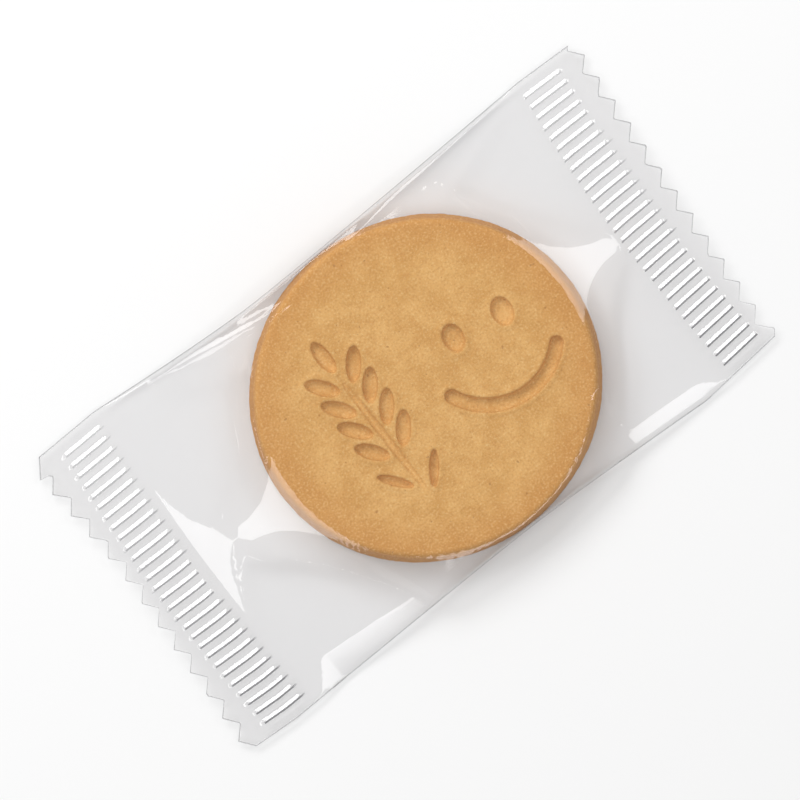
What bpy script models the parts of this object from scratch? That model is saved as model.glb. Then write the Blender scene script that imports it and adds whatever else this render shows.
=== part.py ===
"""A round shortbread biscuit in its clear, sealed film pack, lying flat.

The pack's length runs along X and its width along Y. The origin is at the middle of the pack's
underside. The film is a solid out to its outer form, round a pocket that holds the biscuit and
is open underneath. Metres, +Z up.
"""

import math

import bmesh
import bpy
from mathutils import Matrix, Vector

MM = 0.001

# Biscuit
BISCUIT_RADIUS = 30.25 * MM
BISCUIT_OVAL = 0.025
BISCUIT_THICKNESS = 6.2 * MM
BISCUIT_CENTRE = Vector((3.05 * MM, -0.28 * MM, 0.0))
TOP_FACE_RADIUS = 29.15 * MM
BASE_FACE_RADIUS = 29.35 * MM
RELIEF_DEPTH = 1.0 * MM

# Smiling face pressed into the biscuit, measured from the biscuit's centre
FACE_TILT = math.radians(-11)
EYES = ((8.9 * MM, 3.8 * MM), (18.3 * MM, 2.3 * MM))
EYE_HALF_WIDTH = 2.0 * MM
EYE_HALF_HEIGHT = 2.7 * MM
SMILE_CENTRE = (13.7 * MM, 0.9 * MM)
SMILE_RADIUS = 12.1 * MM
SMILE_HALF_SWEEP = math.radians(58)
SMILE_HALF_WIDTH = 1.25 * MM

# Ear of wheat pressed in beside the face, upright across the pack
EAR_FOOT = (-10.6 * MM, -15.0 * MM)
EAR_HEIGHT = 33.0 * MM
STALK_HALF_WIDTH = 0.7 * MM
STALK_BEND = 1.6 * MM
GRAIN_PAIRS = 4
LOWEST_GRAIN = 12.0 * MM
GRAIN_SPACING = 4.6 * MM
GRAIN_HALF_LENGTH = 3.2 * MM
GRAIN_HALF_WIDTH = 1.3 * MM
GRAIN_SPREAD = math.radians(38)
GRAIN_OFFSET = 3.4 * MM
TIP_GAP = 0.5 * MM
LEAF_HEIGHTS = (5.6 * MM, 3.4 * MM)
LEAF_HALF_LENGTH = 3.4 * MM
LEAF_HALF_WIDTH = 0.8 * MM
LEAF_OFFSET = 3.3 * MM

# Film pack: the lines through the tooth tips at its two ends
PACK_LENGTH = 119.4 * MM
RIGHT_END_X = 57.95 * MM
RIGHT_END_SLANT = 0.063
LEFT_END_X = -57.75 * MM
LEFT_END_FLARE = 0.053
LEFT_FLARE_Y = 7.1 * MM

# Film pack: each side fold's narrowest place, then, to the left and to the right of it, how far
# along the pack it widens, by how much, and how steeply it draws in again after that
TOP_FOLD = ((-12.3 * MM, 29.4 * MM), (32 * MM, 2.2 * MM, 0.03), (60 * MM, 1.9 * MM, 0.03))
LOW_FOLD = ((2.7 * MM, 30.2 * MM), (52 * MM, 1.1 * MM, 0.06), (37 * MM, 1.5 * MM, 0.095))
FOLD_POWER = 1.4
FOLD_HEIGHT = 0.9 * MM

# Film pack: the film's thickness and its distance from the biscuit
FILM_SKIN = 0.35 * MM
GAP = 0.3 * MM

# End seals: flat strips with a zigzag cut
SEAL_THICKNESS = 0.5 * MM
SEAL_HEIGHT = 1.0 * MM
SEAL_RISE = 0.6 * MM
TOOTH_DEPTH = 2.1 * MM
TOOTH_COUNT = 13
RIGHT_TOOTH_PITCH = 4.75 * MM
RIGHT_FIRST_TOOTH_Y = -28.9 * MM
LEFT_TOOTH_PITCH = 4.84 * MM
LEFT_FIRST_TOOTH_Y = -28.5 * MM
CORNER_CUT_Y = 28.0 * MM
CORNER_CUT_SLOPE = 0.72

# Ribs pressed into the seals
RIB_COUNT = 28
RIB_PITCH = 2.12 * MM
RIB_LENGTH = 7.9 * MM
RIB_WIDTH = 1.1 * MM
RIB_HEIGHT = 0.28 * MM
RIGHT_RIB_X = 52.75 * MM
LEFT_RIB_X = -54.95 * MM
RIB_LINE_CURVE = 1.7
RIB_LINE_Y = -6.4 * MM
RIGHT_SEAL_MARGIN = 0.3 * MM
LEFT_SEAL_MARGIN = 1.7 * MM

# Drape of the film between the biscuit and the seals
RIM_RADIUS = 29.9 * MM
RIM_DROP = 0.8 * MM
VALLEY_SLOPE = 0.08
RIDGE_Y = -1.5 * MM
RIDGE_HALF_WIDTH = 1.5 * MM
RIDGE_SPREAD = 0.55
RIDGE_FLANK = 0.22
CREST_WIDTH = 1.6 * MM
BASE_CLEARANCE = 0.25 * MM
SHORTEST_RUN = 6.0 * MM
UNDERSIDE_CURVE = 3
DRAPE_COLUMNS = 58
DRAPE_ROWS = 30
ROW_CROWDING = 0.8

TURN_STEPS = 84


def clear_scene():
    for old in list(bpy.data.objects):
        bpy.data.objects.remove(old, do_unlink=True)


def new_collection(name):
    collection = bpy.data.collections.new(name)
    bpy.context.scene.collection.children.link(collection)
    return collection


def make_material(name, colour, roughness, alpha=1.0):
    material = bpy.data.materials.new(name)
    material.use_nodes = True
    shader = material.node_tree.nodes["Principled BSDF"]
    shader.inputs["Base Color"].default_value = (*colour, 1.0)
    shader.inputs["Roughness"].default_value = roughness
    shader.inputs["Metallic"].default_value = 0.0
    shader.inputs["Alpha"].default_value = alpha
    return material


def object_from_bmesh(name, bm, collection):
    mesh = bpy.data.meshes.new(name)
    bm.to_mesh(mesh)
    bm.free()
    result = bpy.data.objects.new(name, mesh)
    collection.objects.link(result)
    return result


def as_cutter(tool):
    tool.hide_render = True
    tool.display_type = "WIRE"
    return tool


def add_boolean(target, tool, operation):
    modifier = target.modifiers.new(f"{operation.lower()} {tool.name}", "BOOLEAN")
    modifier.operation = operation
    modifier.object = tool


def turned_solid(name, profile, collection):
    """A disc turned from (radius, height) points that run down its outer side, at the biscuit's place."""
    mesh = bpy.data.meshes.new(name)
    points = [(radius, 0.0, height) for radius, height in profile]
    mesh.from_pydata(points, [(i, i + 1) for i in range(len(points) - 1)], [])
    disc = bpy.data.objects.new(name, mesh)
    disc.location = BISCUIT_CENTRE
    disc.scale = (1 + BISCUIT_OVAL, 1 - BISCUIT_OVAL, 1)
    collection.objects.link(disc)
    screw = disc.modifiers.new("turn", "SCREW")
    screw.steps = TURN_STEPS
    screw.render_steps = TURN_STEPS
    screw.use_merge_vertices = True
    screw.merge_threshold = 0.00005
    return disc


# Biscuit


def biscuit_profile(grow=0.0, base=0.0):
    """The biscuit's half section, top to bottom: a flat top, a soft rim, and a side that leans out.

    A grown one goes round the biscuit, and its side runs straight down to the base.
    """
    top = BISCUIT_THICKNESS + grow
    points = [(0.0, top), (TOP_FACE_RADIUS - 1.2 * MM, top)]
    for degrees in (70, 45, 20):
        angle = math.radians(degrees)
        points.append(
            (
                TOP_FACE_RADIUS - 0.9 * MM + (1.2 * MM + grow) * math.cos(angle),
                BISCUIT_THICKNESS - 1.2 * MM + (1.2 * MM + grow) * math.sin(angle),
            )
        )
    points.append((BISCUIT_RADIUS - 0.25 * MM + grow, 2.9 * MM))
    points.append((BISCUIT_RADIUS + grow, 1.5 * MM))
    points.append((BISCUIT_RADIUS - 0.2 * MM + grow, 0.6 * MM))
    if grow > 0.0:
        points.append((BISCUIT_RADIUS - 0.2 * MM + grow, base))
    else:
        points.append((BASE_FACE_RADIUS, base))
    points.append((0.0, base))
    return points


def on_biscuit(x, y, height=0.0):
    return BISCUIT_CENTRE + Vector((x, y, BISCUIT_THICKNESS + height))


def oval_hollow(bm, x, y, half_width, half_height, turn):
    """Adds a flattened ball whose lower half presses an oval hollow into the top face."""
    rise = 0.15 * MM
    place = (
        Matrix.Translation(on_biscuit(x, y, rise))
        @ Matrix.Rotation(turn, 4, "Z")
        @ Matrix.Diagonal((half_width, half_height, RELIEF_DEPTH + rise, 1.0))
    )
    bmesh.ops.create_uvsphere(bm, u_segments=12, v_segments=7, radius=1.0, matrix=place)


def groove_tool(name, points, half_width, collection):
    """A round-ended bar along points on the top face, as a mesh that a Boolean can cut with."""
    curve = bpy.data.curves.new(name, "CURVE")
    curve.dimensions = "3D"
    curve.bevel_depth = half_width
    curve.bevel_resolution = 2
    curve.use_fill_caps = True
    spline = curve.splines.new("POLY")
    spline.points.add(len(points) - 1)
    for index, (x, y) in enumerate(points):
        along = 2 * index / (len(points) - 1) - 1
        spline.points[index].co = (*on_biscuit(x, y, half_width - RELIEF_DEPTH), 1.0)
        spline.points[index].radius = max(0.3, (1 - abs(along) ** 7) ** 0.5)
    holder = bpy.data.objects.new(name + "_curve", curve)
    collection.objects.link(holder)
    graph = bpy.context.evaluated_depsgraph_get()
    mesh = bpy.data.meshes.new_from_object(holder.evaluated_get(graph))
    bpy.data.objects.remove(holder, do_unlink=True)
    bm = bmesh.new()
    bm.from_mesh(mesh)
    bmesh.ops.remove_doubles(bm, verts=bm.verts, dist=0.00001)
    bpy.data.meshes.remove(mesh)
    return as_cutter(object_from_bmesh(name, bm, collection))


def smile_points():
    middle = -math.pi / 2 + FACE_TILT
    steps = 18
    for index in range(steps + 1):
        angle = middle + SMILE_HALF_SWEEP * (2 * index / steps - 1)
        yield (
            SMILE_CENTRE[0] + SMILE_RADIUS * math.cos(angle),
            SMILE_CENTRE[1] + SMILE_RADIUS * math.sin(angle),
        )


def stalk_points():
    """The stalk's centre line, from its foot up to the grain at the tip, bent at its foot."""
    steps = 16
    top = EAR_HEIGHT - 2 * GRAIN_HALF_LENGTH - TIP_GAP
    for index in range(steps + 1):
        up = index / steps
        yield EAR_FOOT[0] - STALK_BEND * (1 - up) ** 4, EAR_FOOT[1] + up * top


def ear_tool(collection):
    """Two leaves low on the stalk, the grains in pairs above them, and one grain at the tip."""
    bm = bmesh.new()
    foot_x, foot_y = EAR_FOOT
    for side, height in zip((-1, 1), LEAF_HEIGHTS):
        x = foot_x + side * LEAF_OFFSET
        oval_hollow(bm, x, foot_y + height, LEAF_HALF_WIDTH, LEAF_HALF_LENGTH, -side * GRAIN_SPREAD)
    for pair in range(GRAIN_PAIRS):
        y = foot_y + LOWEST_GRAIN + pair * GRAIN_SPACING
        for side in (-1, 1):
            x = foot_x + side * GRAIN_OFFSET
            oval_hollow(bm, x, y, GRAIN_HALF_WIDTH, GRAIN_HALF_LENGTH, -side * GRAIN_SPREAD)
    tip_y = foot_y + EAR_HEIGHT - GRAIN_HALF_LENGTH
    oval_hollow(bm, foot_x, tip_y, GRAIN_HALF_WIDTH, GRAIN_HALF_LENGTH, 0.0)
    return as_cutter(object_from_bmesh("ear_of_wheat", bm, collection))


def eyes_tool(collection):
    bm = bmesh.new()
    for x, y in EYES:
        oval_hollow(bm, x, y, EYE_HALF_WIDTH, EYE_HALF_HEIGHT, FACE_TILT)
    return as_cutter(object_from_bmesh("eyes", bm, collection))


def make_biscuit(collection, cutters):
    biscuit = turned_solid("biscuit", biscuit_profile(), collection)
    smile = groove_tool("smile", list(smile_points()), SMILE_HALF_WIDTH, cutters)
    stalk = groove_tool("stalk", list(stalk_points()), STALK_HALF_WIDTH, cutters)
    for tool in (eyes_tool(cutters), smile, stalk, ear_tool(cutters)):
        add_boolean(biscuit, tool, "DIFFERENCE")
    biscuit.data.materials.append(make_material("baked_shortbread", (0.70, 0.39, 0.135), 0.75))
    return biscuit


# Film pack


def end_line(side, y):
    """X of the line through the tooth tips at an end."""
    if side > 0:
        return RIGHT_END_X + RIGHT_END_SLANT * y
    return LEFT_END_X - LEFT_END_FLARE * abs(y - LEFT_FLARE_Y)


def fold_line(side, x):
    """Y of a side fold: drawn in by the biscuit, wider towards the seals."""
    (waist_x, waist_y), to_left, to_right = TOP_FOLD if side > 0 else LOW_FOLD
    reach, spread, draw_in = to_right if x > waist_x else to_left
    past = abs(x - waist_x)
    wider = spread * (min(past, reach) / reach) ** FOLD_POWER
    return side * (waist_y + wider - draw_in * max(0.0, past - reach))


def rib_line(side, y):
    """X of the ribs' outer ends."""
    start = RIGHT_RIB_X if side > 0 else LEFT_RIB_X
    return start + RIB_LINE_CURVE * (y - RIB_LINE_Y) ** 2


def seal_edge(side, y):
    """X of the inner edge of a seal, just past the ribs."""
    margin = RIGHT_SEAL_MARGIN if side > 0 else LEFT_SEAL_MARGIN
    return rib_line(side, y) - side * (RIB_LENGTH + margin)


def seal_height(y):
    """The seals droop from the middle of the pack towards its corners."""
    return SEAL_HEIGHT + SEAL_RISE * math.cos(math.pi / 2 * y / TOP_FOLD[0][1])


def to_seal(x, y):
    """Distance along X to the inner edge of the nearer seal, 0 inside the seal."""
    side = 1 if x > BISCUIT_CENTRE.x else -1
    return max(0.0, side * (seal_edge(side, y) - x))


def to_folds(x, y):
    """Distances along Y to the upper and to the lower side fold."""
    return max(0.0, fold_line(1, x) - y), max(0.0, y - fold_line(-1, x))


def past_rim(x, y):
    """How far a place is past the biscuit's rim."""
    across = (x - BISCUIT_CENTRE.x) / (1 + BISCUIT_OVAL)
    along = (y - BISCUIT_CENTRE.y) / (1 - BISCUIT_OVAL)
    return max(0.0, math.hypot(across, along) - RIM_RADIUS)


def fold_height(x, y):
    """Height of the side folds, which rises or falls to the seal's height in the last stretch."""
    return FOLD_HEIGHT + (seal_height(y) - FOLD_HEIGHT) * max(0.0, 1 - to_seal(x, y) / SHORTEST_RUN)


def ridge_height(x, y):
    """The taut crease from the biscuit's rim to the middle of a seal, wide at the biscuit."""
    side = 1 if x > BISCUIT_CENTRE.x else -1
    run = side * (seal_edge(side, RIDGE_Y) - BISCUIT_CENTRE.x) - RIM_RADIUS
    start = pack_height() - RIM_DROP
    slope = (start - seal_height(0.0)) / run
    half_width = RIDGE_HALF_WIDTH + RIDGE_SPREAD * max(0.0, to_seal(x, RIDGE_Y) - run / 3)
    beside = max(0.0, abs(y - RIDGE_Y) - half_width)
    return start - slope * past_rim(x, y) - RIDGE_FLANK * beside


def pack_height():
    return BISCUIT_THICKNESS + GAP + FILM_SKIN


def film_top(x, y):
    """A low valley on each side of the crease. The biscuit's own cover stands out of it."""
    valley = seal_height(y) + VALLEY_SLOPE * to_seal(x, y)
    drape = max(valley, ridge_height(x, y)) if to_seal(x, y) > 0.0 else valley
    inside = min(1.0, min(to_folds(x, y)) / CREST_WIDTH)
    level = fold_height(x, y)
    return SEAL_THICKNESS / 2 + level + (drape - level) * math.sqrt(1 - (1 - inside) ** 2)


def film_underside(x, y):
    past = past_rim(x, y)
    ahead = min(to_seal(x, y), *to_folds(x, y))
    slack = past / max(past + ahead, SHORTEST_RUN)
    level = fold_height(x, y) - SEAL_THICKNESS / 2
    return BASE_CLEARANCE + (level - BASE_CLEARANCE) * slack**UNDERSIDE_CURVE


def draped_body(name, collection):
    """A flat slab made from one grid, its two faces then moved to the film's upper and lower form.

    The grid's rows crowd towards the side folds.
    """
    bm = bmesh.new()
    size = Matrix.Diagonal((PACK_LENGTH + 4 * MM, 1.0, 1.0, 1.0))
    bmesh.ops.create_grid(
        bm, x_segments=DRAPE_COLUMNS, y_segments=DRAPE_ROWS, size=0.5, matrix=size
    )
    for vert in bm.verts:
        way = vert.co.y + 0.5
        share = way - ROW_CROWDING * math.sin(2 * math.pi * way) / (2 * math.pi)
        vert.co.y = fold_line(-1, vert.co.x) * (1 - share) + fold_line(1, vert.co.x) * share
    upper = list(bm.verts)
    made = bmesh.ops.extrude_face_region(bm, geom=bm.faces[:])
    lower = [item for item in made["geom"] if isinstance(item, bmesh.types.BMVert)]
    for vert in upper:
        vert.co.z = film_underside(vert.co.x, vert.co.y)
    for vert in lower:
        vert.co.z = film_top(vert.co.x, vert.co.y)
    bmesh.ops.recalc_face_normals(bm, faces=bm.faces)
    return object_from_bmesh(name, bm, collection)


def zigzag(side):
    """The cut edge of one end, from -Y to +Y: a tooth tip, then a notch, over and over."""
    pitch = RIGHT_TOOTH_PITCH if side > 0 else LEFT_TOOTH_PITCH
    first = RIGHT_FIRST_TOOTH_Y if side > 0 else LEFT_FIRST_TOOTH_Y
    for step in range(-1, 2 * TOOTH_COUNT + 1):
        y = first + step * pitch / 2
        if side < 0 and y > CORNER_CUT_Y:
            break
        notch = TOOTH_DEPTH if step % 2 else 0.0
        yield Vector((end_line(side, y) - side * notch, y, 0.0))
    if side < 0:
        beyond = fold_line(1, LEFT_END_X) + 3 * MM
        for y in (CORNER_CUT_Y, beyond):
            cut = CORNER_CUT_SLOPE * (y - CORNER_CUT_Y)
            yield Vector((end_line(side, CORNER_CUT_Y) + cut, y, 0.0))


def cut_outline_tool(collection):
    """A block with the pack's outline, whose zigzag ends trim the draped body."""
    bm = bmesh.new()
    rim = list(zigzag(1)) + list(reversed(list(zigzag(-1))))
    face = bm.faces.new([bm.verts.new(point - Vector((0, 0, 2 * MM))) for point in rim])
    made = bmesh.ops.extrude_face_region(bm, geom=[face])
    moved = [item for item in made["geom"] if isinstance(item, bmesh.types.BMVert)]
    bmesh.ops.translate(bm, verts=moved, vec=(0, 0, pack_height() + 4 * MM))
    bmesh.ops.recalc_face_normals(bm, faces=bm.faces)
    return as_cutter(object_from_bmesh("cut_outline", bm, collection))


def add_rib(bm, centre):
    """A round-ended bar along X that stands out of both faces of the seal."""
    made = bmesh.ops.create_uvsphere(bm, u_segments=8, v_segments=3, radius=1.0)
    half = SEAL_THICKNESS / 2 + RIB_HEIGHT
    stretch = RIB_LENGTH / 2 - RIB_WIDTH / 2
    turn = Matrix.Rotation(math.pi / 2, 3, "Y")
    for vert in made["verts"]:
        point = turn @ vert.co
        end = math.copysign(stretch, point.x)
        vert.co = centre + Vector(
            (end + point.x * RIB_WIDTH / 2, point.y * RIB_WIDTH / 2, point.z * half)
        )


def ribs_tool(collection):
    bm = bmesh.new()
    for side in (1, -1):
        for index in range(RIB_COUNT):
            y = (index - (RIB_COUNT - 1) / 2) * RIB_PITCH
            x = rib_line(side, y) - side * RIB_LENGTH / 2
            add_rib(bm, Vector((x, y, seal_height(y))))
    return as_cutter(object_from_bmesh("seal_ribs", bm, collection))


def make_film_pack(collection, cutters):
    pack = draped_body("film_pack", collection)
    over_biscuit = as_cutter(
        turned_solid("over_biscuit", biscuit_profile(grow=GAP + FILM_SKIN), cutters)
    )
    pocket = as_cutter(
        turned_solid("pocket", biscuit_profile(grow=GAP, base=-2.0 * MM), cutters)
    )
    add_boolean(pack, cut_outline_tool(cutters), "INTERSECT")
    add_boolean(pack, ribs_tool(cutters), "UNION")
    add_boolean(pack, over_biscuit, "UNION")
    add_boolean(pack, pocket, "DIFFERENCE")
    pack.data.materials.append(make_material("clear_film", (0.86, 0.86, 0.87), 0.12, alpha=0.3))
    return pack


def shade(part):
    part.data.shade_smooth()
    part.data.set_sharp_from_angle(angle=math.radians(35))


def main():
    clear_scene()
    parts = new_collection("shortbread_biscuit")
    cutters = new_collection("cutters")
    for part in (make_biscuit(parts, cutters), make_film_pack(parts, cutters)):
        shade(part)


main()
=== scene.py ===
"""Looks of a round shortbread biscuit lying in its clear, sealed film pack."""

import math

import bmesh
import bpy
from mathutils import Matrix, Vector


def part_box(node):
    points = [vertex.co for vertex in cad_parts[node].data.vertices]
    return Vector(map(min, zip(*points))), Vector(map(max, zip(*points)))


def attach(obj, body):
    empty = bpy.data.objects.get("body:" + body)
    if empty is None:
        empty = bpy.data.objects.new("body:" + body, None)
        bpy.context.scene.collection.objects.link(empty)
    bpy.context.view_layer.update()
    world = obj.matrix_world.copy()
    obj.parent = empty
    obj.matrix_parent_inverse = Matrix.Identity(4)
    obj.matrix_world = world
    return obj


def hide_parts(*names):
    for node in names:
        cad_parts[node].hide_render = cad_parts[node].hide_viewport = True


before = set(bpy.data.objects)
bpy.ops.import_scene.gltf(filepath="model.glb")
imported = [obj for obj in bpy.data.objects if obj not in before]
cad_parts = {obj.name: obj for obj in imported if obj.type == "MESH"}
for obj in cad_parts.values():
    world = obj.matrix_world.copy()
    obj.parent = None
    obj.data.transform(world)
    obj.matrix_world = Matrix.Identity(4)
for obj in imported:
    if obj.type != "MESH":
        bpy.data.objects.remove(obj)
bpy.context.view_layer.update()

MM = 0.001

# The biscuit's place and size come from its solid in the frame
BISCUIT_LOW, BISCUIT_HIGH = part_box("biscuit")
BISCUIT_X = (BISCUIT_LOW[0] + BISCUIT_HIGH[0]) / 2
BISCUIT_Y = (BISCUIT_LOW[1] + BISCUIT_HIGH[1]) / 2
BISCUIT_HALF_LENGTH = (BISCUIT_HIGH[0] - BISCUIT_LOW[0]) / 2
BISCUIT_HALF_WIDTH = (BISCUIT_HIGH[1] - BISCUIT_LOW[1]) / 2
BISCUIT_RADIUS = (BISCUIT_HALF_LENGTH + BISCUIT_HALF_WIDTH) / 2
BISCUIT_TOP = BISCUIT_HIGH[2]
BISCUIT_BASE = 0.25 * MM
TOP_FACE_RADIUS = 28.9 * MM
UPPER_ROUNDING = 0.6 * MM
LOWER_ROUNDING = 0.7 * MM

# Pressed relief: flat-bottomed hollows, each with a low swollen lip round it
RELIEF_DEPTH = 0.95 * MM
TOOL_RISE = 0.15 * MM
TOOL_DEPTH = 1.9 * MM
STALK_DEPTH = 0.76 * MM
STALK_RISE = 0.1 * MM
LIP_WIDTH = 0.9 * MM
LIP_HEIGHT = 0.2 * MM
LIP_RISE = 0.01 * MM

# Pressed face, measured from the biscuit's centre
FACE_TILT = math.radians(-11)
EYES = ((8.9 * MM, 3.8 * MM), (18.3 * MM, 2.3 * MM))
EYE_HALF_WIDTH = 1.9 * MM
EYE_HALF_HEIGHT = 2.6 * MM
SMILE_CENTRE = (13.7 * MM, 0.9 * MM)
SMILE_RADIUS = 12.1 * MM
SMILE_HALF_SWEEP = math.radians(56)
SMILE_HALF_WIDTH = 1.25 * MM

# Pressed ear of wheat, measured from the biscuit's centre
EAR_FOOT = (-10.6 * MM, -15.0 * MM)
EAR_HEIGHT = 33.0 * MM
STALK_LENGTH = 26.1 * MM
STALK_HALF_WIDTH = 0.7 * MM
GRAIN_PAIRS = 4
LOWEST_GRAIN = 12.0 * MM
GRAIN_SPACING = 4.6 * MM
GRAIN_HALF_LENGTH = 3.2 * MM
GRAIN_HALF_WIDTH = 1.3 * MM
GRAIN_SPREAD = math.radians(38)
GRAIN_OFFSET = 3.4 * MM
LEAF_HEIGHTS = (5.6 * MM, 3.4 * MM)
LEAF_HALF_LENGTH = 3.4 * MM
LEAF_HALF_WIDTH = 0.8 * MM
LEAF_OFFSET = 3.3 * MM

# Biscuit surface
BISCUIT_VOXEL = 0.24 * MM
UNDERSIDE_RADIUS = 26.0 * MM
UNDERSIDE_HEIGHT = 0.5 * MM
CRUMBLY_START = 0.5 * MM

# Film pack: the lines through the tooth tips at its two ends
RIGHT_END_X = 57.95 * MM
RIGHT_END_SLANT = 0.063
LEFT_END_X = -57.75 * MM
LEFT_END_FLARE = 0.053
LEFT_FLARE_Y = 7.1 * MM

# Film pack: each side fold's narrowest place, then, to the left and to the right of it, how far
# along the pack it widens, by how much, and how steeply it draws in again after that
TOP_FOLD = ((-12.3 * MM, 29.4 * MM), (32 * MM, 2.2 * MM, 0.03), (60 * MM, 1.9 * MM, 0.03))
LOW_FOLD = ((2.7 * MM, 30.2 * MM), (52 * MM, 1.1 * MM, 0.06), (37 * MM, 1.5 * MM, 0.095))
FOLD_POWER = 1.4
GRID_HALF_WIDTH = 30.5 * MM
MARGIN_ROWS = 7

# End seals: a zigzag cut and pressed ribs
SEAL_HEIGHT = 1.0 * MM
SEAL_RISE = 0.6 * MM
TOOTH_DEPTH = 2.1 * MM
TEETH = {1: (-28.9 * MM, 4.75 * MM), -1: (-28.5 * MM, 4.84 * MM)}
CORNER_CUT_Y = 28.0 * MM
CORNER_CUT_SLOPE = 0.72
CORNER_REACH = 0.9 * MM
CORNER_REACH_Y = -28.6 * MM
RIB_COUNT = 28
RIB_PITCH = 2.06 * MM
RIB_LENGTH = 7.9 * MM
RIB_HEIGHT = 0.36 * MM
RIB_SLOPE_START = 0.5 * MM
RIB_CREST = -0.18 * MM
RIB_DROP_END = -0.38 * MM
RIB_END_TAPER = 0.5 * MM
# Painted shade on the steep side of each rib: its strength, its mean and fading across the pack, and a
# margin round the steep rows
RIB_PAINTED_SHADE = 0.95
RIB_PAINTED_SHADE_MEAN = 0.6
RIB_PAINTED_SHADE_FADING = 0.4
RIB_PAINTED_SHADE_MARGIN = 0.01 * MM
RIGHT_RIB_X = 52.75 * MM
LEFT_RIB_X = -54.95 * MM
RIB_LINE_CURVE = 1.7
RIB_LINE_Y = -6.4 * MM
RIGHT_SEAL_MARGIN = 0.3 * MM
LEFT_SEAL_MARGIN = 1.7 * MM

# The grid's rows beside a rib's middle, and its columns in a seal: as shares of the way from the
# cut to the ribs, as steps in from a rib's end, and as shares of a rib's length
RIB_ROWS = (-0.8, -0.48, -0.38, -0.28, -0.18, -0.08, 0.16, 0.4, 0.5, 0.75)
CUT_SHARES = (0.0, 0.07, 0.25, 0.5, 0.75)
RIB_END_STEPS = (0.0, 0.1, 0.2, 0.32, 0.6)
RIB_SHARES = (0.25, 0.42, 0.58, 0.75)

# Film pack: how the two sheets lie over and under the biscuit
FILM_TOP = 6.7 * MM
FILM_BASE = 0.04 * MM
FILM_SPACING = 0.12 * MM
WRAP_RADIUS = 29.6 * MM
WRAP_SLOPE = 1.4
WRAP_ROUNDING = 0.15 * MM
VALLEY_SLOPE = 0.08
VALLEY_BLEND = 0.25 * MM
BLEND_START = 2.0 * MM
FOLD_CREST = 0.8 * MM
FOLD_HEIGHT = 0.6 * MM
FOLD_LIFT_START = 6.0 * MM
LEAST_SLACK_WAY = 6.0 * MM
SIDE_RAMP_SLOPE = 0.18
RAMP_START = 6.0 * MM

# The slope beside the low fold, to each side: where it starts, how fast it widens, how wide it gets
LEFT_RAMP = (1.0 * MM, 0.105, 5.2 * MM)
RIGHT_RAMP = (6.0 * MM, 0.107, 2.7 * MM)
RAMP_NARROWEST = 0.5 * MM
RAMP_FADE = 4.0 * MM

# Film pack: the taut facets from the biscuit's top to the middle of each seal
RIDGE_LIFT_OFF = 28.35 * MM
RIDGE_FLANK = 0.34
RIM_FLANK = 0.5
RIGHT_STAR_TIP = 44.65 * MM
LEFT_STAR_TIP = -38.35 * MM
STAR_MIDDLE_Y = -0.6 * MM
STAR_LEAN = 0.12
STAR_NARROWEST = 1.55 * MM
STAR_SPREAD = 6.35 * MM
STAR_REACH = 12.0 * MM
STAR_POWER = 2.4
STAR_ROUNDING = 1.6 * MM
TIP_PASSAGE = 6.0 * MM
LENS_LENGTH = 6.7 * MM
LENS_LOW_WIDTH = 13.0 * MM
LENS_LOW_POWER = 1.5
LENS_HIGH_WIDTH = 14.0 * MM
LENS_HIGH_POWER = 3.2
LENS_BELLY = 5.5 * MM
LENS_BELLY_ROUNDING = 2.2

# Widths of the film's cells along the pack, and how far the narrow ones reach
CELL_BY_TIP = 0.4 * MM
CELL_BY_RIM = 0.5 * MM
CELL_BETWEEN = 0.8 * MM
CELL_OVER_BISCUIT = 1.5 * MM
NARROW_BY_TIP = 2.5 * MM
NARROW_BY_SEAL = 2.0 * MM
NARROW_BY_RIM = (22.0 * MM, 33.0 * MM)
SHORTEST_CELL = 0.2 * MM

# Film pack: two long taut wrinkles beside the upper side fold, each from its start up to the
# biscuit's rim and on to its end on the biscuit's top. Then come the share of the way at which it
# crosses the rim, and its height at the start
WRINKLES = (
    ((-34.4 * MM, 29.6 * MM), (-4.0 * MM, 24.9 * MM), 0.76, 1.9 * MM),
    ((44.4 * MM, 30.6 * MM), (7.4 * MM, 27.4 * MM), 0.86, 1.4 * MM),
)
WRINKLE_WIDTH = 1.15 * MM
WRINKLE_SLOPE = 0.48
WRINKLE_INNER_SLOPE = 0.19
WRINKLE_FLANK = 1.2
WRINKLE_HIGHEST = 0.28 * MM


def deselect_everything():
    for obj in bpy.context.selected_objects:
        obj.select_set(False)


def activate(obj):
    deselect_everything()
    obj.select_set(True)
    bpy.context.view_layer.objects.active = obj


def name_active(name):
    obj = bpy.context.active_object
    obj.name = name
    obj.data.name = name
    return obj


def settle(obj):
    """Puts the object's place and turn into its mesh."""
    activate(obj)
    bpy.ops.object.transform_apply(location=True, rotation=True, scale=True)


def apply_all(obj):
    activate(obj)
    for modifier in list(obj.modifiers):
        bpy.ops.object.modifier_apply(modifier=modifier.name)


def combine(target, tool, operation):
    modifier = target.modifiers.new("press", "BOOLEAN")
    modifier.operation = operation
    modifier.object = tool
    apply_all(target)
    bpy.data.objects.remove(tool, do_unlink=True)


def select_edges(test):
    """In edit mode, selects the edges whose two ends both pass the test, and nothing else."""
    bpy.ops.mesh.select_mode(type="EDGE")
    bpy.ops.mesh.select_all(action="DESELECT")
    mesh = bmesh.from_edit_mesh(bpy.context.active_object.data)
    for edge in mesh.edges:
        if all(test(vert.co) for vert in edge.verts):
            edge.select_set(True)
    mesh.select_flush_mode()
    bmesh.update_edit_mesh(bpy.context.active_object.data)


# Biscuit


def on_biscuit(x, y, height=0.0):
    return Vector((BISCUIT_X + x, BISCUIT_Y + y, BISCUIT_TOP + height))


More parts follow.
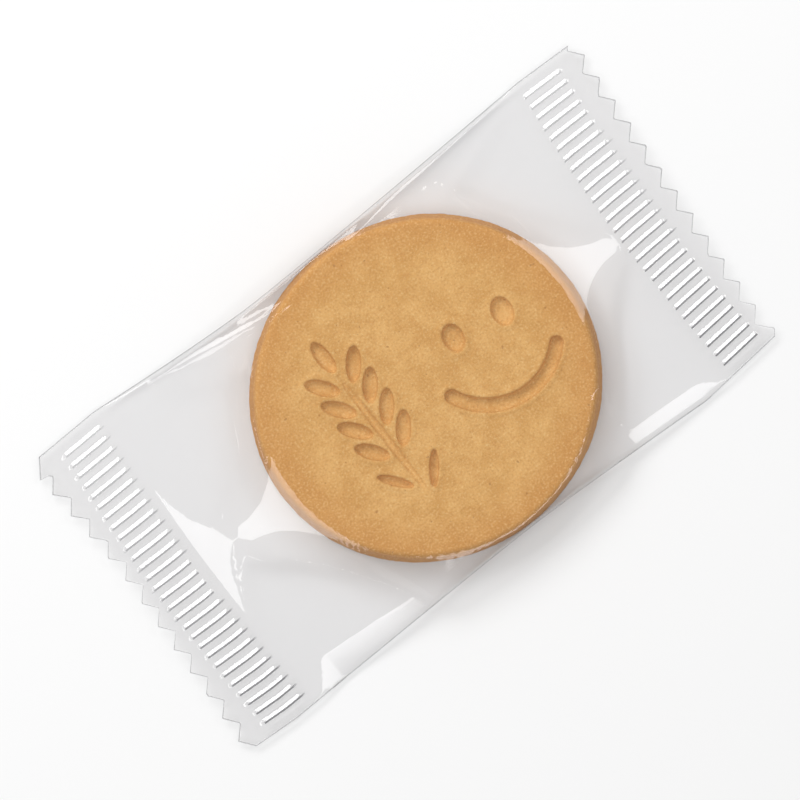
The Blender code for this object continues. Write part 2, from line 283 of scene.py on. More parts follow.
def biscuit_blank():
    """An oval disc whose side leans out towards the base, with a narrow rounding above and below."""
    depth = BISCUIT_TOP - BISCUIT_BASE
    middle = (BISCUIT_X, BISCUIT_Y, BISCUIT_BASE + depth / 2)
    bpy.ops.mesh.primitive_cylinder_add(
        vertices=180, radius=BISCUIT_RADIUS, depth=depth, location=middle
    )
    disc = name_active("biscuit_body")
    bpy.ops.object.mode_set(mode="EDIT")
    select_edges(lambda point: point.z > 0)
    draw_in = TOP_FACE_RADIUS / BISCUIT_RADIUS
    bpy.ops.transform.resize(value=(draw_in, draw_in, 1))
    bpy.ops.mesh.bevel(offset=UPPER_ROUNDING, segments=3, affect="EDGES")
    select_edges(lambda point: point.z < -0.499 * depth)
    bpy.ops.mesh.bevel(offset=LOWER_ROUNDING, segments=3, affect="EDGES")
    bpy.ops.mesh.select_all(action="SELECT")
    oval = (BISCUIT_HALF_LENGTH / BISCUIT_RADIUS, BISCUIT_HALF_WIDTH / BISCUIT_RADIUS, 1)
    bpy.ops.transform.resize(value=oval)
    bpy.ops.object.mode_set(mode="OBJECT")
    settle(disc)
    return disc


def flatten_floor(tool):
    """Cuts off the tool's lower end, so that it presses a level floor."""
    activate(tool)
    bpy.ops.object.mode_set(mode="EDIT")
    bpy.ops.mesh.select_all(action="SELECT")
    floor = (0, 0, BISCUIT_TOP - RELIEF_DEPTH)
    bpy.ops.mesh.bisect(plane_co=floor, plane_no=(0, 0, -1), clear_outer=True, use_fill=True)
    bpy.ops.object.mode_set(mode="OBJECT")


def oval_tool(x, y, half_width, half_height, turn, lip=False):
    """A flattened ball: its lower half presses an oval hollow, or its upper half swells into a lip."""
    if lip:
        rise, depth = LIP_RISE, LIP_HEIGHT
        half_width += LIP_WIDTH
        half_height += LIP_WIDTH
    else:
        rise, depth = TOOL_RISE, TOOL_DEPTH
    bpy.ops.mesh.primitive_uv_sphere_add(
        segments=32, ring_count=17, radius=1.0, location=on_biscuit(x, y, rise), rotation=(0, 0, turn)
    )
    tool = bpy.context.active_object
    tool.scale = (half_width, half_height, depth)
    settle(tool)
    if not lip:
        flatten_floor(tool)
    return tool


def smile_tools(lip=False):
    """A bar spun round the smile's arc, and a ball for each of its ends."""
    middle = -math.pi / 2 + FACE_TILT
    if lip:
        rise, half_width, half_height = LIP_RISE, SMILE_HALF_WIDTH + LIP_WIDTH, LIP_HEIGHT
    else:
        rise, half_width, half_height = TOOL_RISE, SMILE_HALF_WIDTH, TOOL_DEPTH
    centre = on_biscuit(*SMILE_CENTRE, rise)
    start = middle - SMILE_HALF_SWEEP
    first = centre + SMILE_RADIUS * Vector((math.cos(start), math.sin(start), 0))
    upright = (math.pi / 2, 0, start)
    bpy.ops.mesh.primitive_circle_add(
        vertices=25, radius=1.0, fill_type="NGON", location=first, rotation=upright
    )
    bar = bpy.context.active_object
    bar.scale = (half_width, half_height, 1.0)
    settle(bar)
    bpy.ops.object.mode_set(mode="EDIT")
    bpy.ops.mesh.select_all(action="SELECT")
    bpy.ops.mesh.spin(steps=40, angle=2 * SMILE_HALF_SWEEP, center=centre, axis=(0, 0, -1))
    bpy.ops.mesh.select_all(action="SELECT")
    bpy.ops.mesh.normals_make_consistent(inside=False)
    bpy.ops.object.mode_set(mode="OBJECT")
    if not lip:
        flatten_floor(bar)
    yield bar
    for angle in (start, middle + SMILE_HALF_SWEEP):
        place = centre + SMILE_RADIUS * Vector((math.cos(angle), math.sin(angle), 0))
        bpy.ops.mesh.primitive_uv_sphere_add(segments=25, ring_count=17, radius=1.01, location=place)
        end = bpy.context.active_object
        end.scale = (half_width, half_width, half_height)
        settle(end)
        if not lip:
            flatten_floor(end)
        yield end


def stalk_tool():
    """A long spindle laid up the middle of the ear."""
    x, y = EAR_FOOT
    middle = on_biscuit(x, y + STALK_LENGTH / 2, STALK_RISE)
    bpy.ops.mesh.primitive_uv_sphere_add(segments=24, ring_count=24, radius=1.0, location=middle)
    bar = bpy.context.active_object
    bar.scale = (STALK_HALF_WIDTH, STALK_LENGTH / 2, STALK_DEPTH)
    settle(bar)
    return bar


def ear_tools(lip=False):
    """Two leaves low on the stalk, the grains in pairs above them, and one grain at the tip."""
    x, y = EAR_FOOT
    for side, height in zip((-1, 1), LEAF_HEIGHTS):
        turn = -side * GRAIN_SPREAD
        along, up = x + side * LEAF_OFFSET, y + height
        yield oval_tool(along, up, LEAF_HALF_WIDTH, LEAF_HALF_LENGTH, turn, lip)
    for pair in range(GRAIN_PAIRS):
        up = y + LOWEST_GRAIN + pair * GRAIN_SPACING
        for side in (-1, 1):
            turn = -side * GRAIN_SPREAD
            along = x + side * GRAIN_OFFSET
            yield oval_tool(along, up, GRAIN_HALF_WIDTH, GRAIN_HALF_LENGTH, turn, lip)
    tip = y + EAR_HEIGHT - GRAIN_HALF_LENGTH
    yield oval_tool(x, tip, GRAIN_HALF_WIDTH, GRAIN_HALF_LENGTH, 0.0, lip)


def relief_tools(lip=False):
    for x, y in EYES:
        yield oval_tool(x, y, EYE_HALF_WIDTH, EYE_HALF_HEIGHT, FACE_TILT, lip)
    yield from smile_tools(lip)
    yield from ear_tools(lip)
    if not lip:
        yield stalk_tool()


def weigh(obj, name, weight):
    """A vertex group whose weight at each point is weight(point)."""
    group = obj.vertex_groups.new(name=name)
    for vert in obj.data.vertices:
        group.add([vert.index], max(0.0, min(1.0, weight(vert.co))), "REPLACE")
    return name


def roughen(obj, name, grain, strength, group=""):
    """Cloudy unevenness of a grain size, everywhere or only in a vertex group."""
    texture = bpy.data.textures.new(name, "CLOUDS")
    texture.noise_scale = grain
    texture.noise_depth = 2
    modifier = obj.modifiers.new(name, "DISPLACE")
    modifier.texture = texture
    modifier.texture_coords = "LOCAL"
    modifier.strength = strength
    modifier.mid_level = 0.5
    modifier.vertex_group = group


def out_from_centre(x, y):
    """Distance from the biscuit's centre as if the oval were round, with the mean radius."""
    return math.hypot(
        (x - BISCUIT_X) * BISCUIT_RADIUS / BISCUIT_HALF_LENGTH,
        (y - BISCUIT_Y) * BISCUIT_RADIUS / BISCUIT_HALF_WIDTH,
    )


def crumbly(point):
    """1 on the side and the upper rim, 0 or less on the two faces."""
    return 1 + (out_from_centre(point.x, point.y) - TOP_FACE_RADIUS) / CRUMBLY_START


def thin_out_underside(body):
    """Replaces the fine faces under the biscuit by one flat face, which keeps the piece light."""
    activate(body)
    bpy.ops.object.mode_set(mode="EDIT")
    bpy.ops.mesh.select_mode(type="FACE")
    bpy.ops.mesh.select_all(action="DESELECT")
    mesh = bmesh.from_edit_mesh(body.data)
    for face in mesh.faces:
        middle = face.calc_center_median()
        low = middle.z < BISCUIT_BASE + UNDERSIDE_HEIGHT
        if low and out_from_centre(middle.x, middle.y) < UNDERSIDE_RADIUS:
            face.select_set(True)
    bmesh.update_edit_mesh(body.data)
    bpy.ops.mesh.dissolve_faces()
    bpy.ops.object.mode_set(mode="OBJECT")


def make_biscuit():
    body = biscuit_blank()
    for tool in relief_tools(lip=True):
        combine(body, tool, "UNION")
    for tool in relief_tools():
        combine(body, tool, "DIFFERENCE")
    remesh = body.modifiers.new("even faces", "REMESH")
    remesh.mode = "VOXEL"
    remesh.voxel_size = BISCUIT_VOXEL
    smooth = body.modifiers.new("soft edges", "SMOOTH")
    smooth.factor = 0.5
    smooth.iterations = 2
    apply_all(body)
    thin_out_underside(body)
    side = weigh(body, "side", crumbly)
    roughen(body, "uneven top", 7 * MM, 0.2 * MM)
    roughen(body, "grain", 0.6 * MM, 0.08 * MM)
    roughen(body, "crumbly side", 1.0 * MM, 0.2 * MM, side)
    apply_all(body)
    body.data.shade_smooth()
    return body


# Film pack


def smooth_step(value):
    value = max(0.0, min(1.0, value))
    return value * value * (3 - 2 * value)


def soft_max(first, second, blend):
    return (first + second + math.sqrt((first - second) ** 2 + blend**2)) / 2


def end_line(side, y):
    """X of the line through the tooth tips at an end."""
    if side > 0:
        return RIGHT_END_X + RIGHT_END_SLANT * y + CORNER_REACH * smooth_step((CORNER_REACH_Y - y) / MM)
    cut = CORNER_CUT_SLOPE * max(0.0, y - CORNER_CUT_Y)
    return LEFT_END_X - LEFT_END_FLARE * abs(min(y, CORNER_CUT_Y) - LEFT_FLARE_Y) + cut


def fold_line(side, x):
    """Y of a side fold: drawn in by the biscuit, wider towards the seals."""
    (waist_x, waist_y), to_left, to_right = TOP_FOLD if side > 0 else LOW_FOLD
    reach, spread, draw_in = to_right if x > waist_x else to_left
    past = abs(x - waist_x)
    wider = spread * (min(past, reach) / reach) ** FOLD_POWER
    return side * (waist_y + wider - draw_in * max(0.0, past - reach))


def rib_line(side, y):
    """X of the ribs' outer ends."""
    start = RIGHT_RIB_X if side > 0 else LEFT_RIB_X
    return start + RIB_LINE_CURVE * (y - RIB_LINE_Y) ** 2


def seal_edge(side, y):
    """X of the inner edge of a seal, just past the ribs."""
    margin = RIGHT_SEAL_MARGIN if side > 0 else LEFT_SEAL_MARGIN
    return rib_line(side, y) - side * (RIB_LENGTH + margin)


def seal_height(y):
    """The seals droop from the middle of the pack towards its corners."""
    return SEAL_HEIGHT + SEAL_RISE * math.cos(math.pi / 2 * y / GRID_HALF_WIDTH)


def to_seal(x, y):
    """Distance along X to the inner edge of the nearer seal, negative inside the seal."""
    side = 1 if x > BISCUIT_X else -1
    return side * (seal_edge(side, y) - x)


def to_fold(x, y):
    """Distance along Y to the nearer side fold."""
    return max(0.0, min(fold_line(1, x) - y, y - fold_line(-1, x)))


def ridge_slope(side):
    """How steeply a taut facet falls from the biscuit's top to the middle of its seal."""
    run = side * (seal_edge(side, 0.0) - BISCUIT_X) - RIDGE_LIFT_OFF
    return (FILM_TOP - seal_height(0.0) - FILM_SPACING / 2) / run


def star_middle(side, from_tip):
    """Y of the middle of a taut facet, a distance along X from its narrow tip."""
    return STAR_MIDDLE_Y + side * STAR_LEAN * from_tip


def star_half_width(from_tip):
    """Half the width of a taut facet: it spreads from its rounded tip to the biscuit."""
    tip = math.sin(math.pi / 2 * max(0.0, min(1.0, from_tip / STAR_ROUNDING)))
    return STAR_NARROWEST * tip + STAR_SPREAD * (max(0.0, from_tip) / STAR_REACH) ** STAR_POWER


def lens_half_width(past_seal, above):
    """Half the width of the facet between the left one's tip and the seal, wider on its +Y side."""
    share = max(0.0, min(1.0, 1 - past_seal / LENS_LENGTH))
    if above:
        belly = LENS_BELLY * math.sin(math.pi / 2 * min(1.0, LENS_BELLY_ROUNDING * share))
        return belly + LENS_HIGH_WIDTH * share**LENS_HIGH_POWER
    return LENS_LOW_WIDTH * share**LENS_LOW_POWER


def beside_star(x, y):
    """How far a place lies outside the taut facet on its side of the biscuit."""
    side = 1 if x > BISCUIT_X else -1
    from_tip = RIGHT_STAR_TIP - x if side > 0 else x - LEFT_STAR_TIP
    aside = y - star_middle(side, max(0.0, from_tip))
    half = star_half_width(from_tip)
    if side < 0 and from_tip < 0:
        half = lens_half_width(to_seal(x, y), aside > 0)
    return max(0.0, abs(aside) - half)


def ridge_drop(x, y):
    """How far a taut facet lies below the biscuit's top."""
    side = 1 if x > BISCUIT_X else -1
    straight = abs(x - BISCUIT_X)
    from_tip = RIGHT_STAR_TIP - x if side > 0 else x - LEFT_STAR_TIP
    radial = math.hypot(straight, y - BISCUIT_Y)
    by_seal = FILM_TOP - seal_height(y) - FILM_SPACING / 2 - ridge_slope(side) * to_seal(x, y)
    by_rim = ridge_slope(side) * (radial - RIDGE_LIFT_OFF)
    return max(0.0, by_seal + (by_rim - by_seal) * smooth_step(from_tip / TIP_PASSAGE))


def side_ramp_width(x):
    """How far the film's slope along the low side reaches in from the fold."""
    start, taper, widest = LEFT_RAMP if x < BISCUIT_X else RIGHT_RAMP
    along = abs(x - start)
    if (x - start) * (x - BISCUIT_X) < 0:
        return 0.0
    return min(widest, RAMP_NARROWEST * smooth_step(along / RAMP_FADE) + taper * along)


def wrinkle_height(x, y):
    """Height of the wrinkles' roofs: steep on the side towards the fold, gentle on the other."""
    highest = 0.0
    for start, stop, rim_share, start_height in WRINKLES:
        way = Vector(stop) - Vector(start)
        place = Vector((x, y)) - Vector(start)
        share = place.dot(way) / way.length_squared
        if not 0 < share < 1:
            continue
        width = WRINKLE_WIDTH * math.sin(math.pi * share)
        crest = start_height + (FILM_TOP - start_height) * min(1.0, share / rim_share)
        crest += min(WRINKLE_HIGHEST, WRINKLE_SLOPE * width)
        aside = abs(place.cross(way)) / way.length
        outer = place.y > way.y * share
        slope = WRINKLE_SLOPE if outer else WRINKLE_INNER_SLOPE
        fall = slope * min(aside, width) + WRINKLE_FLANK * max(0.0, aside - width)
        highest = max(highest, crest - fall)
    return highest


def fold_height(seal, inward):
    """Height of the side folds: low along the pack, lifted to the seal's height at the seals."""
    return FOLD_HEIGHT + (seal - FOLD_HEIGHT) * max(0.0, 1 - inward / FOLD_LIFT_START)


def film_top(x, y):
    """Height of the upper sheet: wrapped round the biscuit, taut to the seals, low in between."""
    seal = seal_height(y) + FILM_SPACING / 2
    inward = to_seal(x, y)
    if inward <= 0:
        return seal
    past = max(0.0, out_from_centre(x, y) - WRAP_RADIUS)
    wrap = FILM_TOP - WRAP_SLOPE * past**2 / (past + WRAP_ROUNDING)
    valley = seal + VALLEY_SLOPE * inward
    height = soft_max(wrap, valley, VALLEY_BLEND * min(1.0, inward / BLEND_START))
    drop, beside = ridge_drop(x, y), beside_star(x, y)
    height = max(height, FILM_TOP - drop - RIDGE_FLANK * beside)
    height = min(height, FILM_TOP - max(0.0, drop - RIM_FLANK * beside))
    above_fold = max(0.0, y - fold_line(-1, x))
    ramp = (side_ramp_width(x) + FOLD_CREST) * smooth_step(inward / RAMP_START)
    height -= SIDE_RAMP_SLOPE * max(0.0, ramp - above_fold)
    height = max(height, wrinkle_height(x, y))
    fold = fold_height(seal, inward)
    inside = min(1.0, to_fold(x, y) / FOLD_CREST)
    return fold + (height - fold) * math.sqrt(1 - (1 - inside) ** 2)


def film_underside(x, y):
    """Straight from the biscuit's foot to the seals and the side folds."""
    seal = seal_height(y) - FILM_SPACING / 2
    inward = max(0.0, to_seal(x, y))
    fold = fold_height(seal, inward)
    past = max(0.0, out_from_centre(x, y) - WRAP_RADIUS)
    slack = past / max(past + min(inward, to_fold(x, y)), LEAST_SLACK_WAY)
    return FILM_BASE + (fold - FILM_BASE) * slack


def rib_place(x, y, grid_y):
    """Distance along Y from the middle of the nearest rib, and inwards from its nearer end.

    The ribs follow the grid's rows.
    """
    nearest = round(grid_y / RIB_PITCH + (RIB_COUNT - 1) / 2)
    nearest = max(0, min(RIB_COUNT - 1, nearest))
    beside = grid_y - (nearest - (RIB_COUNT - 1) / 2) * RIB_PITCH
    side = 1 if x > 0 else -1
    middle = rib_line(side, y) - side * RIB_LENGTH / 2
    return beside, RIB_LENGTH / 2 - abs(x - middle)


def rib_lift(x, y, grid_y):
    """How far the seal's pressed ribs raise the film.

    A rib rises gently from its +Y side to its crest and drops steeply behind it.
    """
    beside, to_end = rib_place(x, y, grid_y)
    rise = (RIB_SLOPE_START - beside) / (RIB_SLOPE_START - RIB_CREST)
    drop = (beside - RIB_DROP_END) / (RIB_CREST - RIB_DROP_END)
    taper = math.sin(math.pi / 2 * max(0.0, min(1.0, to_end / RIB_END_TAPER)))
    return RIB_HEIGHT * max(0.0, min(rise, drop, taper))


def rib_painted_shade(x, y, grid_y):
    """Painted shade on the steep side of a rib, which faces away from the light, weaker towards +Y."""
    beside, to_end = rib_place(x, y, grid_y)
    on_steep_side = RIB_DROP_END - RIB_PAINTED_SHADE_MARGIN < beside < RIB_CREST + RIB_PAINTED_SHADE_MARGIN
    fading = RIB_PAINTED_SHADE_MEAN - RIB_PAINTED_SHADE_FADING * grid_y / GRID_HALF_WIDTH
    return RIB_PAINTED_SHADE * fading if on_steep_side and to_end > 0 else 0.0


def notch_depth(side, y):
    """How far the zigzag cut lies inside the line through its tips."""
    if side < 0 and y > CORNER_CUT_Y:
        return 0.0
    first, pitch = TEETH[side]
    return TOOTH_DEPTH * (1 - abs(2 * ((y - first) / pitch % 1.0) - 1))


def grid_rows():
    """Places of the grid's rows across the pack: close together on the flanks of every rib."""
    margin = GRID_HALF_WIDTH - RIB_COUNT * RIB_PITCH / 2
    lead = [margin * step / MARGIN_ROWS for step in range(MARGIN_ROWS)]
    rows = [-GRID_HALF_WIDTH + step for step in lead]
    for rib in range(RIB_COUNT):
        middle = (rib - (RIB_COUNT - 1) / 2) * RIB_PITCH
        rows += [middle + offset * MM for offset in RIB_ROWS]
    return rows + [GRID_HALF_WIDTH - step for step in reversed(lead)]


def seal_columns(side, y):
    """X of the grid's columns from the cut end to the seal's inner edge, close together at rib ends."""
    cut = end_line(side, y) - side * notch_depth(side, y)
    first = rib_line(side, y)
    places = [cut + (first - cut) * share for share in CUT_SHARES]
    last = first - side * RIB_LENGTH
    places += [first - side * step * MM for step in RIB_END_STEPS]
    places += [first + (last - first) * share for share in RIB_SHARES]
    places += [last + side * step * MM for step in reversed(RIB_END_STEPS)]
    return places + [(last + seal_edge(side, y)) / 2]


def column_step(x):
    """Width of a cell at X: fine by the seals, the facets' tips and the biscuit's rim."""
    from_centre = abs(x - BISCUIT_X)
    from_tip = min(abs(x - LEFT_STAR_TIP), abs(x - RIGHT_STAR_TIP))
    from_seal = min(x - seal_edge(-1, 0.0), seal_edge(1, 0.0) - x)
    if from_tip < NARROW_BY_TIP or from_seal < NARROW_BY_SEAL:
        return CELL_BY_TIP
    if from_centre < NARROW_BY_RIM[0]:
        return CELL_OVER_BISCUIT
    return CELL_BY_RIM if from_centre < NARROW_BY_RIM[1] else CELL_BETWEEN


def middle_shares():
    """The columns between the seals as shares of the way from one to the other."""
    start, stop = seal_edge(-1, 0.0), seal_edge(1, 0.0)
    x, shares = start, []
    while x < stop - SHORTEST_CELL:
        shares.append((x - start) / (stop - start))
        x += column_step(x)
    return shares + [1.0]


def row_y(share, x):
    """Y of a row of the grid at X: the rows spread between the two side folds."""
    return fold_line(-1, x) * (1 - share) + fold_line(1, x) * share


def film_row(grid_y):
    """The (x, y) points of one row of the grid, from the left end to the right."""
    share = (grid_y / GRID_HALF_WIDTH + 1) / 2
    left_y, right_y = row_y(share, LEFT_RIB_X), row_y(share, RIGHT_RIB_X)
    start, stop = seal_edge(-1, left_y), seal_edge(1, right_y)
    row = seal_columns(-1, left_y)
    row += [start + (stop - start) * place for place in middle_shares()]
    row += reversed(seal_columns(1, right_y))
    return [(x, row_y(share, x)) for x in row]


def film_sheet(name, upper, rows, points):
    """One face of the pack: a grid, moved point by point to the form of the film."""
    last_row, last_column = len(rows) - 1, len(points[0]) - 1
    bpy.ops.mesh.primitive_grid_add(x_subdivisions=last_column, y_subdivisions=last_row, size=1)
    sheet = name_active(name)
    cut_edge_and_rib_shade = sheet.data.attributes.new("cut_edge_and_rib_shade", "FLOAT", "POINT")
    for vert in sheet.data.vertices:
        column = round((vert.co.x + 0.5) * last_column)
        row = round((vert.co.y + 0.5) * last_row)
        x, y = points[row][column]
        at_rim = column in (0, last_column) or row in (0, last_row)
        if at_rim:
            height = (film_top(x, y) + film_underside(x, y)) / 2
        else:
            height = film_top(x, y) if upper else film_underside(x, y)
        vert.co = (x, y, height + rib_lift(x, y, rows[row]))
        # The cut edge gets the film's grey; inside, the steep side of each rib gets painted shade
        cut_edge_and_rib_shade.data[vert.index].value = 1.0 if at_rim else rib_painted_shade(x, y, rows[row])
    if not upper:
        sheet.data.flip_normals()
    return sheet


def make_film():
    """Both faces, welded together along the cut ends and the side folds."""
    rows = grid_rows()
    points = [film_row(grid_y) for grid_y in rows]
    top = film_sheet("film_wrap", True, rows, points)
    base = film_sheet("film_base", False, rows, points)
    deselect_everything()
    base.select_set(True)
    top.select_set(True)
    bpy.context.view_layer.objects.active = top
    bpy.ops.object.join()
    film = bpy.context.active_object
    bpy.ops.object.mode_set(mode="EDIT")
    bpy.ops.mesh.select_all(action="SELECT")
    bpy.ops.mesh.remove_doubles(threshold=0.002 * MM)
    bpy.ops.object.mode_set(mode="OBJECT")
    film.data.shade_smooth()
    return film


# Materials

# Display colours of the shortbread, each channel from 0 to 255
CRUST_DARK = (212, 160, 88)
CRUST_LIGHT = (227, 178, 107)
CRUST_AT_RIM = (204, 142, 70)
CRUST_ON_SIDE = (198, 140, 78)
GRAIN_LIGHT = (244, 210, 150)
GRAIN_DARK = (186, 130, 66)
BLOTCH = (204, 146, 76)
SPECK = (150, 95, 45)

# Where the browner rim starts and ends, and how far under the top the side's colour does
RIM_BROWNING = (20.0 * MM, 29.4 * MM)
SIDE_BROWNING = (1.1 * MM, 1.9 * MM)
BUMP_DISTANCE = 0.12 * MM

# What the film lets through: seen straight, at a slant, at its cut edge, and where painted shade
# darkens the steep side of each rib
FILM_TINT = (0.973, 0.971, 0.972, 1)
FILM_SLANT_TINT = (0.7, 0.7, 0.705, 1)
FILM_EDGE_AND_RIB_SHADE_TINT = (0.5, 0.5, 0.51, 1)


class Wiring:
    """Short ways to add and link the nodes of one material."""

    def __init__(self, material):
        material.use_nodes = True
        self.tree = material.node_tree
        self.tree.nodes.clear()

    def add(self, kind, **settings):
        node = self.tree.nodes.new(kind)
        for key, value in settings.items():
            setattr(node, key, value)
        return node

    def link(self, source, target):
        self.tree.links.new(source, target)

    def noise(self, place, scale, detail=3.0, roughness=0.5):
        node = self.add("ShaderNodeTexNoise")
        node.inputs["Scale"].default_value = scale
        node.inputs["Detail"].default_value = detail
        node.inputs["Roughness"].default_value = roughness
        self.link(place, node.inputs["Vector"])
        return node.outputs["Fac"]

    def ramp(self, value, low, high, start=0.0, end=1.0):
        node = self.add("ShaderNodeMapRange", interpolation_type="SMOOTHSTEP")
        node.inputs["From Min"].default_value = low
        node.inputs["From Max"].default_value = high
        node.inputs["To Min"].default_value = start
        node.inputs["To Max"].default_value = end
        self.link(value, node.inputs["Value"])
        return node.outputs["Result"]

    def mix(self, factor, first, second):
        node = self.add("ShaderNodeMix", data_type="RGBA", blend_type="MIX")
        sockets = (node.inputs[0], node.inputs[6], node.inputs[7])
        for socket, value in zip(sockets, (factor, first, second)):
            if isinstance(value, bpy.types.NodeSocket):
                self.link(value, socket)
            else:
                socket.default_value = value
        return node.outputs[2]

    def maths(self, operation, first, second):
        node = self.add("ShaderNodeMath", operation=operation)
        for socket, value in zip(node.inputs, (first, second)):
            if isinstance(value, bpy.types.NodeSocket):
                self.link(value, socket)
            else:
                socket.default_value = value
        return node.outputs[0]


def linear(red, green, blue):
    """A display colour, each channel from 0 to 255, as the linear colour that a shader takes."""
    channels = [channel / 255 for channel in (red, green, blue)]
    bent = [c / 12.92 if c <= 0.04045 else ((c + 0.055) / 1.055) ** 2.4 for c in channels]
    return (*bent, 1.0)


def shortbread_material():
    material = bpy.data.materials.new("baked_shortbread")
    wire = Wiring(material)
    coords = wire.add("ShaderNodeTexCoord").outputs["Object"]
    centred = wire.add("ShaderNodeMapping")
    centred.inputs["Location"].default_value = (-BISCUIT_X, -BISCUIT_Y, 0)
    wire.link(coords, centred.inputs["Vector"])
    place = centred.outputs["Vector"]
    parts = wire.add("ShaderNodeSeparateXYZ")
    wire.link(place, parts.inputs[0])
    flat = wire.add("ShaderNodeCombineXYZ")
    wire.link(parts.outputs["X"], flat.inputs["X"])
    wire.link(parts.outputs["Y"], flat.inputs["Y"])
    out = wire.add("ShaderNodeVectorMath", operation="LENGTH")
    wire.link(flat.outputs[0], out.inputs[0])

    mottle = wire.noise(place, 260, 3, 0.55)
    colour = wire.mix(wire.ramp(mottle, 0.3, 0.7), linear(*CRUST_DARK), linear(*CRUST_LIGHT))
    near_rim = wire.ramp(out.outputs["Value"], *RIM_BROWNING, 0.0, 0.7)
    colour = wire.mix(near_rim, colour, linear(*CRUST_AT_RIM))
    on_side = wire.ramp(parts.outputs["Z"], *(BISCUIT_TOP - depth for depth in SIDE_BROWNING))
    colour = wire.mix(on_side, colour, linear(*CRUST_ON_SIDE))
    fine = wire.noise(place, 2600, 2, 0.6)
    colour = wire.mix(wire.ramp(fine, 0.5, 0.75, 0.0, 0.45), colour, linear(*GRAIN_LIGHT))
    colour = wire.mix(wire.ramp(fine, 0.5, 0.25, 0.0, 0.5), colour, linear(*GRAIN_DARK))
    blotch = wire.noise(place, 900, 2, 0.5)
    colour = wire.mix(wire.ramp(blotch, 0.55, 0.75, 0.0, 0.35), colour, linear(*BLOTCH))
    speck = wire.ramp(wire.noise(place, 1000, 1, 0.4), 0.745, 0.78, 0.0, 0.45)
    colour = wire.mix(speck, colour, linear(*SPECK))

    bump_coarse = wire.noise(place, 1100, 3, 0.6)
    bump_fine = wire.noise(place, 3800, 2, 0.6)
    height = wire.maths("ADD", bump_coarse, wire.maths("MULTIPLY", bump_fine, 0.5))
    bump = wire.add("ShaderNodeBump")
    bump.inputs["Strength"].default_value = 0.8
    bump.inputs["Distance"].default_value = BUMP_DISTANCE
    wire.link(height, bump.inputs["Height"])

    shader = wire.add("ShaderNodeBsdfPrincipled")
    wire.link(colour, shader.inputs["Base Color"])
    wire.link(wire.ramp(bump_coarse, 0.3, 0.7, 0.62, 0.82), shader.inputs["Roughness"])
    wire.link(bump.outputs["Normal"], shader.inputs["Normal"])
    shader.inputs["Specular IOR Level"].default_value = 0.3
    output = wire.add("ShaderNodeOutputMaterial")
    wire.link(shader.outputs[0], output.inputs["Surface"])
    return material


def film_material():
    """Thin clear film: it dims what lies behind it, more so at a slant, and mirrors the lights.

    The mirrored share comes from Facing, because Fresnel differs between the film's two sides.
    """
    material = bpy.data.materials.new("clear_film")
    wire = Wiring(material)
    slant = wire.add("ShaderNodeLayerWeight")
    slant.inputs["Blend"].default_value = 0.5
    cut_edge_and_rib_shade = wire.add("ShaderNodeAttribute", attribute_name="cut_edge_and_rib_shade").outputs["Fac"]
    tint = wire.mix(wire.ramp(slant.outputs["Facing"], 0.42, 0.85), FILM_TINT, FILM_SLANT_TINT)
    # Darker at the cut edge, and painted shade on the steep side of each rib
    tint = wire.mix(cut_edge_and_rib_shade, tint, FILM_EDGE_AND_RIB_SHADE_TINT)
    clear = wire.add("ShaderNodeBsdfTransparent")
    wire.link(tint, clear.inputs["Color"])
    gloss = wire.add("ShaderNodeBsdfAnisotropic")
    gloss.inputs["Color"].default_value = (1, 1, 1, 1)
    gloss.inputs["Roughness"].default_value = 0.06
    blend = wire.add("ShaderNodeMixShader")
    wire.link(wire.ramp(slant.outputs["Facing"], 0.35, 1.0, 0.05, 0.6), blend.inputs["Fac"])
    wire.link(clear.outputs[0], blend.inputs[1])
    wire.link(gloss.outputs[0], blend.inputs[2])
    output = wire.add("ShaderNodeOutputMaterial")
    wire.link(blend.outputs[0], output.inputs["Surface"])
    return material


def floor_material():
    material = bpy.data.materials.new("pale_floor")
    wire = Wiring(material)
    shader = wire.add("ShaderNodeBsdfPrincipled")
    shader.inputs["Base Color"].default_value = (0.9, 0.9, 0.9, 1)
    shader.inputs["Roughness"].default_value = 0.9
    shader.inputs["Specular IOR Level"].default_value = 0.0
    output = wire.add("ShaderNodeOutputMaterial")
    wire.link(shader.outputs[0], output.inputs["Surface"])
    return material


def dress(piece, material):
    piece.data.materials.clear()
    piece.data.materials.append(material)


# Stage, light and camera

IMAGE_UP = Vector((0.616, 0.788, 0.0))
VIEW_TARGET = Vector((-1.7 * MM, 0.82 * MM, 3.0 * MM))
VIEW_DISTANCE = 0.9
VIEW_WIDTH = 136.8 * MM
SENSOR_WIDTH = 36
FLOOR_HEIGHT = -0.02 * MM
FACET_HEIGHT = 3.0 * MM
SOFTBOX_DISTANCE = 0.8

# Width, depth and power of the softboxes that the film mirrors, and the middles of their facets
STAR_SOFTBOX = (0.48, 0.14, 0.72)
LOW_SOFTBOX = (0.45, 0.12, 0.66)
RIGHT_STAR_PLACE = (37.0 * MM, -0.3 * MM)
LEFT_STAR_PLACE = (-33.0 * MM, -0.6 * MM)
LOW_BAND_PLACE = (0, -28.0 * MM)
WORLD_STRENGTH = 0.49


def make_floor():
    bpy.ops.mesh.primitive_plane_add(size=3.0, location=(0, 0, FLOOR_HEIGHT))
    floor = name_active("floor")
    settle(floor)
    dress(floor, floor_material())


def aim(obj, target, up):
    """Turns a camera or light at a place so that it looks at the target."""
    back = (obj.location - target).normalized()
    right = up.cross(back).normalized()
    turn = Matrix((right, back.cross(right), back)).transposed()
    obj.rotation_euler = turn.to_euler()


def make_camera():
    bpy.ops.object.camera_add()
    camera = bpy.context.active_object
    camera.name = "photo_view"
    camera.location = VIEW_TARGET + Vector((0, 0, VIEW_DISTANCE))
    aim(camera, VIEW_TARGET, IMAGE_UP)
    camera.data.sensor_width = SENSOR_WIDTH
    camera.data.lens = SENSOR_WIDTH * VIEW_DISTANCE / VIEW_WIDTH
    camera.data.clip_start = 0.01
    bpy.context.scene.camera = camera


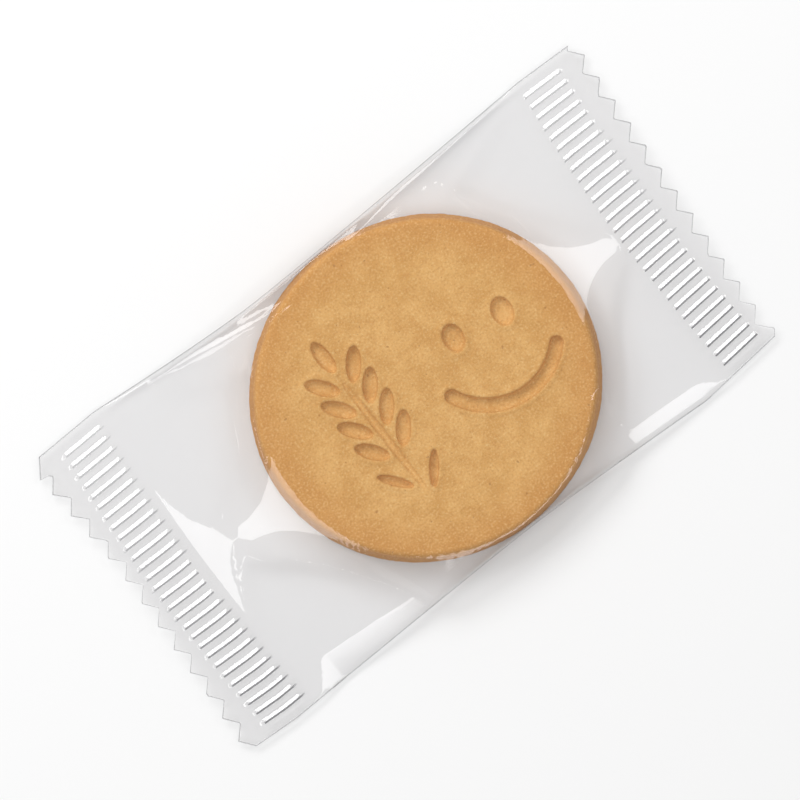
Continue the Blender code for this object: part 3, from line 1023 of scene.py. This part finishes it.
def area_light(name, width, depth, power):
    bpy.ops.object.light_add(type="AREA")
    light = bpy.context.active_object
    light.name = name
    light.data.shape = "RECTANGLE"
    light.data.size = width
    light.data.size_y = depth
    light.data.energy = power
    return light


def key_softbox(azimuth, zenith, distance, width, depth, power):
    """An area light aimed at the pack, its width level and its depth towards the zenith.

    Azimuth is counted from +X towards +Y, both angles in degrees.
    """
    turn, lean = math.radians(azimuth), math.radians(zenith)
    light = area_light("key_softbox", width, depth, power)
    flat = math.sin(lean)
    way = Vector((flat * math.cos(turn), flat * math.sin(turn), math.cos(lean)))
    light.location = way * distance
    aim(light, Vector((0, 0, 0)), Vector((0, 0, 1)))


def mirrored_softbox(name, place, lean, width, depth, power):
    """A softbox standing where a leaning facet of the film mirrors it into the camera.

    The lean is how steeply the facet falls along +X and along +Y.
    """
    facet = Vector((*place, FACET_HEIGHT))
    normal = Vector((*lean, 1)).normalized()
    ray = (facet - VIEW_TARGET - Vector((0, 0, VIEW_DISTANCE))).normalized()
    way = ray - 2 * ray.dot(normal) * normal
    light = area_light(name, width, depth, power)
    light.location = facet + way * SOFTBOX_DISTANCE
    aim(light, facet, Vector((0, 0, 1)))


def make_light():
    key_softbox(azimuth=92, zenith=52, distance=0.9, width=0.8, depth=0.36, power=5.2)
    mirrored_softbox("right_softbox", RIGHT_STAR_PLACE, (ridge_slope(1), 0), *STAR_SOFTBOX)
    mirrored_softbox("left_softbox", LEFT_STAR_PLACE, (-ridge_slope(-1), 0), *STAR_SOFTBOX)
    mirrored_softbox("low_softbox", LOW_BAND_PLACE, (0, -SIDE_RAMP_SLOPE), *LOW_SOFTBOX)
    world = bpy.data.worlds.new("studio")
    world.use_nodes = True
    background = world.node_tree.nodes["Background"]
    background.inputs["Color"].default_value = (1, 1, 1, 1)
    background.inputs["Strength"].default_value = WORLD_STRENGTH
    bpy.context.scene.world = world
    bpy.context.scene.view_settings.view_transform = "Standard"


def main():
    biscuit = make_biscuit()
    dress(biscuit, shortbread_material())
    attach(biscuit, "root")
    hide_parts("biscuit")

    film = make_film()
    dress(film, film_material())
    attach(film, "root")
    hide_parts("film_pack")

    make_floor()
    make_camera()
    make_light()


main()
